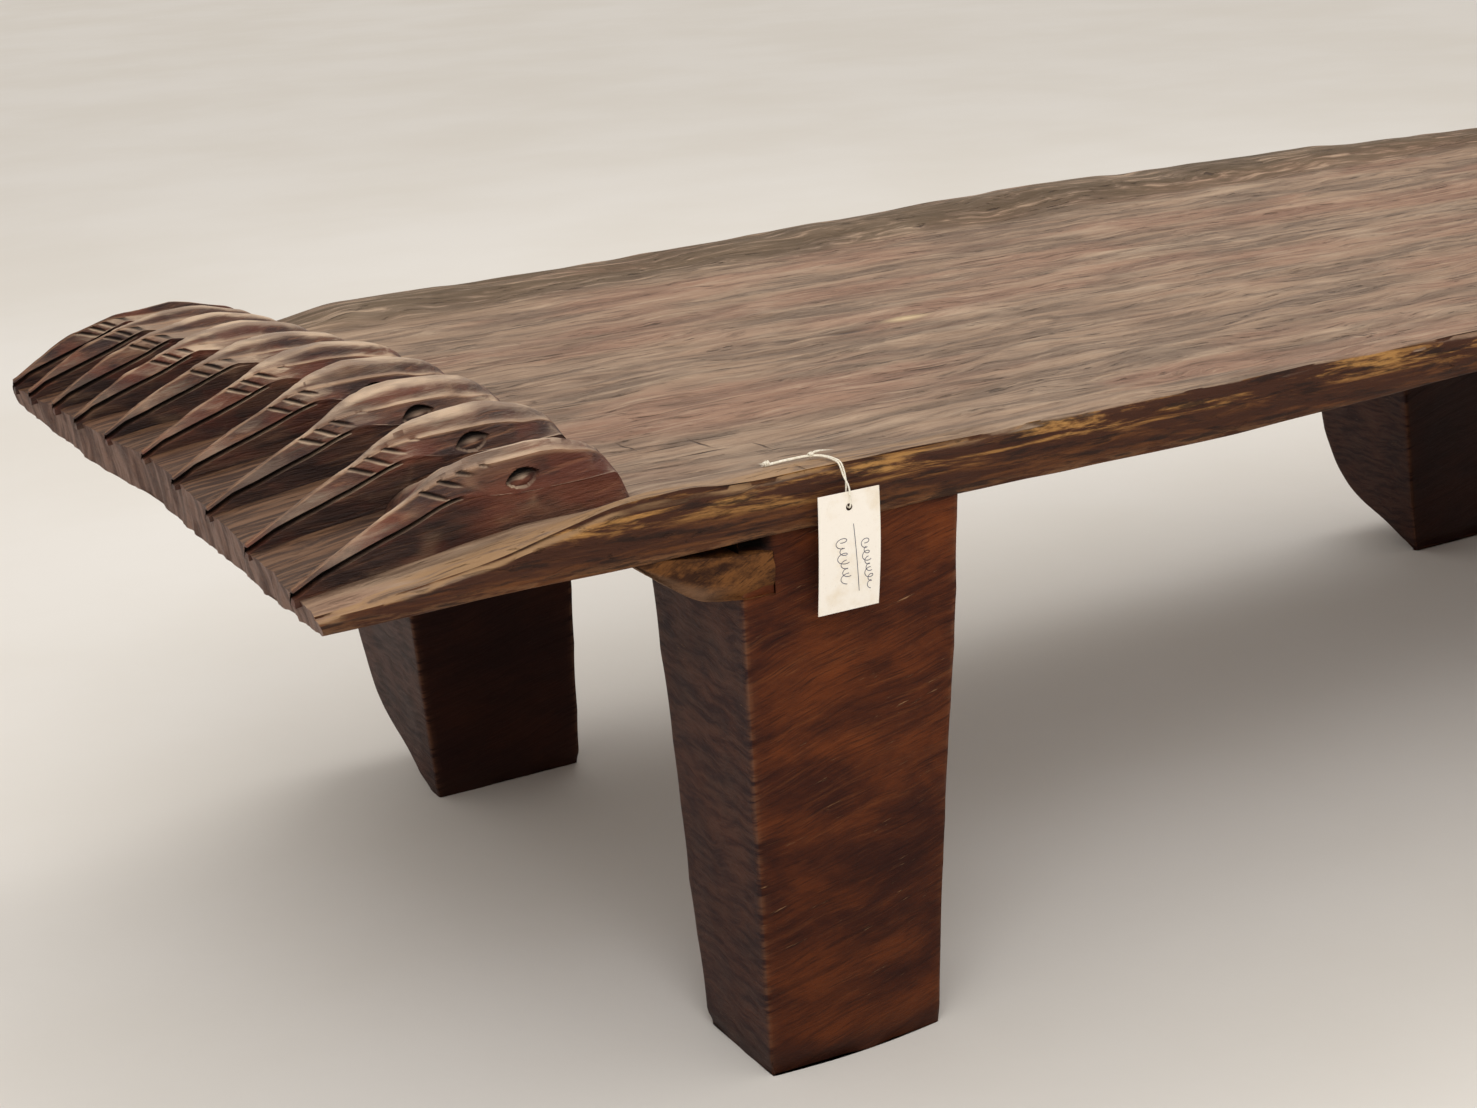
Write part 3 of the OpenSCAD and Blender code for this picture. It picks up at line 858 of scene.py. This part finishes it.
def bed_point(u, v, w):
    """Place of a grid point: u along the bed in metres, v from -1 near to 1 far, w up."""
    out_v = np.abs(v)
    at_head = 1 - smooth(u, HEAD_X, HEAD_X + 0.24)
    at_foot = smooth(u, FOOT_X - 0.12, FOOT_X)
    x = u + (curve(HEAD_EDGE, v * HALF_W) + 0.0012 - HEAD_X) * at_head
    x -= FOOT_CORNER * smooth(out_v, 0.9, 1.0) ** 2 * at_foot
    out = np.where(v < 0, curve(NEAR_OUT, x), curve(FAR_OUT, x)) * out_v ** 6
    y = v * HALF_W + out * np.sign(v)
    high = top_z(x, y)
    low = curve(UNDERSIDE, out_v * HALF_W)
    low = low + 0.008 * smooth(v, -0.8, -1.0) * smooth(x, -0.3, 0.05)
    low = low - 0.006 * smooth(x, HEAD_X + 0.12, HEAD_X) * smooth(out_v, 0.8, 1.0)
    low = low + 0.004 * smooth(x, HEAD_X + 0.1, HEAD_X) * smooth(v, -0.1, -0.5)
    at = xyz(x, y, low)
    low = low + 0.0016 * layered(at, (0.12, 0.04, 1), 31)
    z = low + (high - low) * w
    at = xyz(x, y, z)
    # Long edges: split, layered faces, with their top arris broken away in places.
    near_side = smooth(out_v, 0.99, 1.0)
    layer = 0.002 * layered(at, (0.1, 0.5, 0.012), 41) - 0.0022 * scoops(
        at, (0.045, 0.5, 0.01), 45)
    bulge = 0.002 * np.sin(math.pi * w) - 0.0026 * smooth(w, 0.8, 1.0)
    y += np.sign(v) * near_side * (layer + bulge)
    z -= 0.0012 * near_side * smooth(w, 0.8, 1.0) * (1 + layered(at, (0.05, 1, 1), 47))
    z += 0.001 * near_side * smooth(w, 0.2, 0.0)
    # Head edge: chopped facets, scalloped in plan.
    end = smooth(u, HEAD_X + 0.006, HEAD_X)
    chop = scoops(at, (1, 0.03, 0.05), 51) + 0.4 * scoops(at, (1, 0.011, 0.018), 52)
    x += end * (0.005 * (0.8 - chop) * smooth(out_v, 1.0, 0.95) + 0.0035 * (1 - w))
    x -= 0.003 * smooth(u, FOOT_X - 0.006, FOOT_X) * np.abs(noise(at, (1, 0.05, 0.03), 55))
    return xyz(x, y, z), {"crest": adze(x, y)}


def make_bed(material):
    """Panel, rims and ledge as the one hewn slab that they are."""
    us = spread((HEAD_X, HEAD_X + 0.006, 0.003), (HEAD_X + 0.006, -0.3, 0.0034),
                (-0.3, FOOT_X - 0.006, 0.0072), (FOOT_X - 0.006, FOOT_X, 0.003))
    vs = spread((-1, -0.985, 0.0075), (-0.985, -0.8, 0.0062), (-0.8, 0.0, 0.011),
                (0.0, 0.985, 0.017), (0.985, 1, 0.0075))
    ws = np.array([0, 0.05, 0.16, 0.3, 0.44, 0.58, 0.72, 0.84, 0.93, 1.0])
    u, v, w, faces = block_grid(us, vs, ws)
    points, marks = bed_point(u, v, w)
    bed = make_piece("bed_slab", points, faces, material, marks, sharp=50)
    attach(bed, "bed")
    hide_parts("bed_panel", "near_rim", "far_rim", "head_ledge")


# ---- birds ----

BIRD_L = 0.219
SINK = 0.004
BEAK_W = 0.01
FULL_W_U = 0.098
# Shares of the near face's height at which the mouth slit starts and ends.
LIP_LOW = 0.4
LIP_HIGH = 0.52

# Heights along a head, counted from the beak's tip: its ridge, and its mouth slit.
RIDGE = [(0.0, 0.399), (0.022, 0.41), (0.041, 0.4185), (0.054, 0.425), (0.073, 0.434),
         (0.086, 0.4405), (0.105, 0.4485), (0.121, 0.453), (0.149, 0.456), (0.181, 0.454),
         (0.2, 0.446), (0.21, 0.436), (0.219, 0.414)]
SLIT_LINE = [(0.0, 0.3955), (0.03, 0.4055), (0.07, 0.419), (0.11, 0.432),
             (0.135, 0.43), (0.219, 0.43)]
NICKS = 4
NICK_STEP = 0.0115
EYE_U = 0.148
EYE_BELOW = 0.0188

# For each bird: where its nicks start, how broad its crest is as a share of the bird, how
# far its near edge is bevelled, and how far along its slit ends.
BIRD_CUTS = [(0.086, 0.0, 0.005, 0.112), (0.071, 0.1, 0.0085, 0.104),
             (0.068, 0.2, 0.009, 0.103), (0.074, 0.16, 0.008, 0.108),
             (0.07, 0.22, 0.007, 0.101), (0.073, 0.2, 0.0085, 0.106),
             (0.067, 0.26, 0.008, 0.1), (0.071, 0.2, 0.007, 0.104),
             (0.069, 0.24, 0.0075, 0.098), (0.06, 0.1, 0.005, 0.092)]

# How far the back of each head stands past the end of the ledge.
HEAD_BACK = [0.0, 0.014, 0.016, 0.016, 0.014, 0.004, -0.004, -0.009, -0.013, -0.016]


def turned(a, b, degrees):
    """Distances along and above a line at this angle."""
    c, s = math.cos(math.radians(degrees)), math.sin(math.radians(degrees))
    return a * c + b * s, b * c - a * s


def eye_socket(u, z, eye_u, eye_z):
    """Depth of an almond socket with a ball in it, and its painted shade: darkest under the brow,
    lighter on the ball.
    """
    along, up = turned(u - eye_u, z - eye_z, 10)
    half_l, half_h = 0.0118, 0.0054
    lid = half_h * np.clip(1 - (along / half_l) ** 2, 0, 1)
    inside = smooth(lid - np.abs(up), -0.0004, 0.001) * (np.abs(along) < half_l)
    ball = np.exp(-(along / 0.0062) ** 2 - ((up + 0.0012) / 0.003) ** 2)
    brow = smooth(up, -0.002, 0.004)
    depth = inside * (0.003 + 0.003 * brow - 0.0032 * ball)
    dark = inside * np.clip(0.55 + brow - 0.85 * ball, 0, 1)
    return depth, dark


def ridge_at(i, place):
    """Height of a head's ridge. Later heads are lower and rise a little sooner."""
    lift = -0.0013 * i - 0.002 * (i > 4)
    early = place + 0.0016 * i * smooth(place, 0.0, 0.06) * smooth(place, 0.15, 0.09)
    fallen = 0.0007 * i * smooth(place, 0.14, 0.18)
    return curve(RIDGE, early) + lift * smooth(place, 0.02, 0.12) - fallen


def nick_cuts(i, u, z):
    """Depth of the short cuts from the ridge down towards the eye."""
    first = BIRD_CUTS[i][0]
    depth = np.zeros_like(u)
    for k in range(NICKS):
        start = first + NICK_STEP * (0.9 + 0.1 * math.sin(3 * k)) * k
        along, up = turned(u - start, z - ridge_at(i, start) + 0.0015,
                           -17 - 4 * math.sin(1.7 * k + 90 * first))
        length = 0.019 - 0.0012 * k
        on = smooth(along, -0.003, 0.0005) * smooth(along, length, length - 0.009)
        depth = np.maximum(depth, on * smooth(np.abs(up), 0.0016 * (0.5 + 0.5 * on), 0.0004))
    return depth


def head_top(i, along, away, width, base):
    """Height of a head's top: a bevel up from the near face, a broad crest, and a slope to the
    next head. Also the height at which the near face ends."""
    _, crest, bevel, _ = BIRD_CUTS[i]
    ridge = ridge_at(i, along)
    crown = smooth(along, 0.07, 0.14)
    bevel_h = 0.0012 + bevel * crown * smooth(along, 0.215, 0.18)
    bevel_w = 0.003 + 1.7 * bevel * crown
    end_z = base - 0.001 + (0.419 - base) * smooth(along, 0.08, 0.115)
    end_z = np.minimum(end_z, ridge - 0.004)
    flat = bevel_w + crest * width.max() * smooth(along, 0.06, 0.13)
    fall = np.clip((away - flat) / np.maximum(width - flat, 0.001), 0, 1)
    fall = 0.8 * fall + 0.2 * smooth(fall, 0, 1)
    top = ridge - bevel_h * (1 - smooth(away, 0, bevel_w)) - (ridge - end_z) * fall
    return top, ridge - bevel_h


def head_face(i, along, w, base, face_top):
    """Near face, below the mouth slit, in it, and above it: height, distance in from the head's
    near side, and the painted shade in the slit, the eye and the nicks, and under the upper beak."""
    slit_end = BIRD_CUTS[i][3]
    lower = np.clip(w / LIP_LOW, 0, 1)
    mouth = np.clip((w - LIP_LOW) / (LIP_HIGH - LIP_LOW), 0, 1)
    upper = np.clip((w - LIP_HIGH) / (1 - LIP_HIGH), 0, 1)
    open_h = (0.0046 - 0.016 * np.clip(along - 0.01, 0, 0.1)) * smooth(along, 0.135, 0.1)
    open_h = np.maximum(open_h, 0.0004)
    slit = np.minimum(curve(SLIT_LINE, along), face_top - 0.0055)
    z = base + (slit - base) * lower + open_h * mouth + (face_top - slit - open_h) * upper
    depth = 0.007 * smooth(along, slit_end, slit_end - 0.012)
    cut = smooth(mouth, 0.0, 0.2) * smooth(mouth, 1.0, 0.8)
    lean_low = 0.0015 + 0.0025 * smooth(along, 0.0, FULL_W_U)
    lean_high = 0.003 + 0.0062 * smooth(along, 0.0, 0.05)
    inward = lean_low * lower + lean_high * upper + depth * cut
    eye_u = EYE_U + 0.0015 * math.sin(2.1 * i + 0.5)
    eye, eye_dark = eye_socket(along, z, eye_u, ridge_at(i, eye_u) - EYE_BELOW)
    below = smooth(face_top - z, 0.0004, 0.0022)
    nick = nick_cuts(i, along, z) * (w > LIP_HIGH)
    # Painted shade: near black inside the slit and nicks and in the eye, and darker on the face
    # below the slit, under the upper beak.
    slit_dark = cut * smooth(along, slit_end, slit_end - 0.008)
    throat_shade = 0.5 * (w < LIP_LOW - 0.01) * smooth(along, 0.15, 0.09)
    dark = {"cut": cut, "eye": eye_dark,
            "all": slit_dark + throat_shade + eye_dark * below + 0.9 * nick}
    return z, inward, 1.2 * eye * below + 0.0024 * nick, dark


def bird_points(i, u, v, w):
    """Places of a head's grid points, with how much each is an edge, and how much painted shade
    it takes in the cuts and under the beak.
    """
    low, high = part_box(f"bird_{i + 1:02d}")
    y0, pitch = low.y, high.y - low.y
    x_tip = curve(HEAD_EDGE, np.array([y0 + 0.004]))[0] - 0.0005
    x = x_tip + (LEDGE_END + HEAD_BACK[i] - x_tip) * u
    along = BIRD_L * u
    base = ledge_z(x) - SINK
    # Plan: a straight near face, and a far side that opens to the next head.
    beak_w = min(BEAK_W, pitch)
    width = beak_w + (pitch - beak_w) * np.clip(along / FULL_W_U, 0, 1)
    away = v * width
    top, face_top = head_top(i, along, away, width, base)
    near_z, inward, carved, dark = head_face(i, along, w, base, face_top)
    face, rim = v < 1e-6, w > 0.999
    z = base + (top - base) * w
    z += (1 - v) * (near_z - (base + (face_top - base) * w))
    y = (y0 + inward + carved * face) * (1 - v) + (y0 + width) * v
    # The back of each head turns in towards its middle.
    back = smooth(along, 0.185, BIRD_L)
    y += back * 0.01 * (1 - v) * w * (pitch > 0.03)
    at = xyz(x, y, z)
    cuts = scoops(at, (0.036, 0.024, 0.016), 61 + i)
    hewn = 0.0024 * (cuts - 0.4) * smooth(along, 0.0, 0.03)
    y -= np.where(face & ~rim, hewn * (1 - dark["cut"]) * (1 - dark["eye"]), 0)
    z += np.where(rim, 0.9 * hewn, 0)
    edge = np.where(rim, smooth(away, 0.004, 0.0), smooth(w, 0.93, 1.0))
    edge = np.maximum(edge, 0.6 * smooth(cuts, 0.45, 0.8)) * (v < 0.5)
    return xyz(x, y, z), {"edge": edge, "cut": np.clip(face * dark["all"], 0, 1)}


def make_birds(material):
    """Ten heads on the ledge, from the near edge to the far one."""
    us = spread((0, 0.28, 0.0085), (0.28, 0.75, 0.0038), (0.75, 1, 0.01))
    vs = np.array([0, 0.02, 0.05, 0.09, 0.13, 0.18, 0.24, 0.3, 0.37, 0.44, 0.51, 0.58,
                   0.65, 0.72, 0.79, 0.86, 0.93, 1.0])
    ws = np.concatenate([np.linspace(0, LIP_LOW, 10), [0.42, 0.46, 0.5],
                         np.linspace(LIP_HIGH, 1.0, 22)])
    for i in range(BIRDS):
        u, v, w, faces = block_grid(us, vs, ws)
        points, marks = bird_points(i, u, v, w)
        name = f"bird_{i + 1:02d}"
        bird = make_piece(f"{name}_carved", points, faces, material, marks, sharp=38)
        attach(bird, "bed")
        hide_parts(name)


# ---- legs and block ----

LEG_W = 0.138
LEG_TOP = 0.388
NEAR_OUT_Y = HALF_W - 0.004
NEAR_LEG_T = 0.092
NEAR_LEG_FLARE = 0.058
LEG_ARRIS_R = 0.0035

# Outer side of a far leg, as (height, distance in from its outer face): the log's round.
FAR_ROUND = [(0.0, 0.14), (0.008, 0.128), (0.022, 0.105), (0.042, 0.062), (0.066, 0.034),
             (0.1, 0.016), (0.15, 0.005), (0.22, 0.0), (0.42, 0.0)]

# Node name: left edge at the floor, widening to the left and the right at the rim, and where
# the outer face stands across the bed.
LEGS = {"leg_head_near": (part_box("leg_head_near")[0].x, 0.0, 0.032, -NEAR_OUT_Y),
        "leg_foot_near": (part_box("leg_foot_near")[0].x + 0.025, 0.028, 0.008, -NEAR_OUT_Y),
        "leg_head_far": (-0.644, 0.022, 0.016, NEAR_OUT_Y),
        "leg_foot_far": (0.495, 0.048, 0.012, HALF_W - 0.034)}

# Where the flat near faces of the far legs stand across the bed.
FAR_IN_Y = {"leg_head_far": 0.21, "leg_foot_far": 0.198}


def leg_points(name, s, t, z):
    """Places on a leg: s from left to right, t from near to far, z up."""
    left, left_spread, right_spread, outer = LEGS[name]
    seed = 71 + 5 * sorted(LEGS).index(name)
    rise = z / RIM_Z
    x_left = left - left_spread * rise
    x_right = left + LEG_W + right_spread * rise
    if outer < 0:
        y_near = np.full_like(z, outer)
        y_far = outer + NEAR_LEG_T + NEAR_LEG_FLARE * rise
    else:
        y_near = np.full_like(z, FAR_IN_Y[name])
        y_far = outer - curve(FAR_ROUND, z)
    x = x_left + (x_right - x_left) * s
    y = y_near + (y_far - y_near) * t
    # Rounded arrises: a point near two sides at once is drawn in.
    from_arris = np.maximum(np.minimum(s, 1 - s) * (x_right - x_left),
                            np.minimum(t, 1 - t) * (y_far - y_near))
    draw = np.clip(1 - from_arris / LEG_ARRIS_R, 0, 1) * 0.3 * LEG_ARRIS_R
    x += draw * np.where(s < 0.5, 1, -1)
    y += draw * np.where(t < 0.5, 1, -1)
    at = xyz(x, y, z)
    # Flat adze facets, a slight belly, and wavering arrises.
    face = 0.002 * (scoops(at, (0.075, 0.075, 0.055), seed) - 0.4) + 0.0022 * noise(
        at, (0.1, 0.1, 0.14), seed + 3)
    out_x, out_y = [1.0 * (k > 1 - 1e-6) - (k < 1e-6) for k in (s, t)]
    x += out_x * face
    y += out_y * face
    # The gap above the uncut block is hollowed into the leg behind it.
    if name == "leg_head_near":
        gap = smooth(z, 0.369, 0.374) * smooth(x, BLOCK_HIGH.x + 0.002, BLOCK_HIGH.x - 0.008)
        y += 0.016 * gap * (t < 1e-6)
    belly = 0.005 * np.sin(math.pi * s) * smooth(z, 0.3, 0.0)
    y -= belly * (1 - t) * (outer < 0)
    # Chipped edge round the foot.
    chip = smooth(z, 0.012, 0.0) * (0.0022 + 0.0022 * noise(at, (0.02, 0.02, 1), seed + 4))
    x -= out_x * chip
    y -= out_y * chip
    return xyz(x, y, z), {"edge": np.exp(-(from_arris / LEG_ARRIS_R) ** 2)}


def make_legs(material):
    across = spread((0, 0.03, 0.015), (0.03, 0.97, 0.028), (0.97, 1, 0.015))
    up = spread((0, 0.06, 0.003), (0.06, LEG_TOP, 0.0042))
    for name in LEGS:
        s, t, z, faces = block_grid(across, across, up)
        points, marks = leg_points(name, s, t, z)
        leg = make_piece(f"{name}_hewn", points, faces, material, marks, sharp=80)
        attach(leg, "bed")
        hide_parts(name)


def make_block(material):
    """Rough wedge between the slab and the near head leg."""
    length = BLOCK_HIGH.x - BLOCK_LOW.x
    bottom = [(0.0, 0.38), (0.02, 0.364), (0.042, 0.35), (0.07, 0.343), (0.098, 0.341)]
    top = [(0.0, 0.3825), (0.025, 0.379), (0.06, 0.3735), (0.098, 0.37)]
    u, v, w, faces = block_grid(spread((0, 1, 0.02)), spread((0, 1, 0.05)),
                                spread((0, 1, 0.06)))
    x = BLOCK_LOW.x + length * u
    low, high = curve(bottom, length * u), curve(top, length * u)
    z = low + (high - low) * w
    y = BLOCK_LOW.y + 0.001 + (BLOCK_HIGH.y - BLOCK_LOW.y) * v
    at = xyz(x, y, z)
    rough = layered(at, (0.018, 0.018, 0.012), 91, 4)
    front = (v < 1e-6).astype(float)
    y += front * (0.002 + 0.0024 * rough) + 0.004 * front * smooth(w, 0.35, 0.0)
    z += (1 - front) * 0.0012 * rough * smooth(w, 0.5, 0.0)
    edge = smooth(w, 0.42, 0.12) * smooth(u, 0.8, 0.4)
    block = make_piece("shoulder_block_raw", xyz(x, y, z), faces, material,
                       {"edge": edge}, sharp=50)
    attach(block, "bed")
    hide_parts("shoulder_block")


# ---- the scene ----

make_camera()
make_string(cotton())
make_tag(paper())
make_pen_marks(ink())
make_bed(top_wood())
make_birds(carved_wood())
make_legs(leg_wood())
make_block(raw_wood())
make_stage()
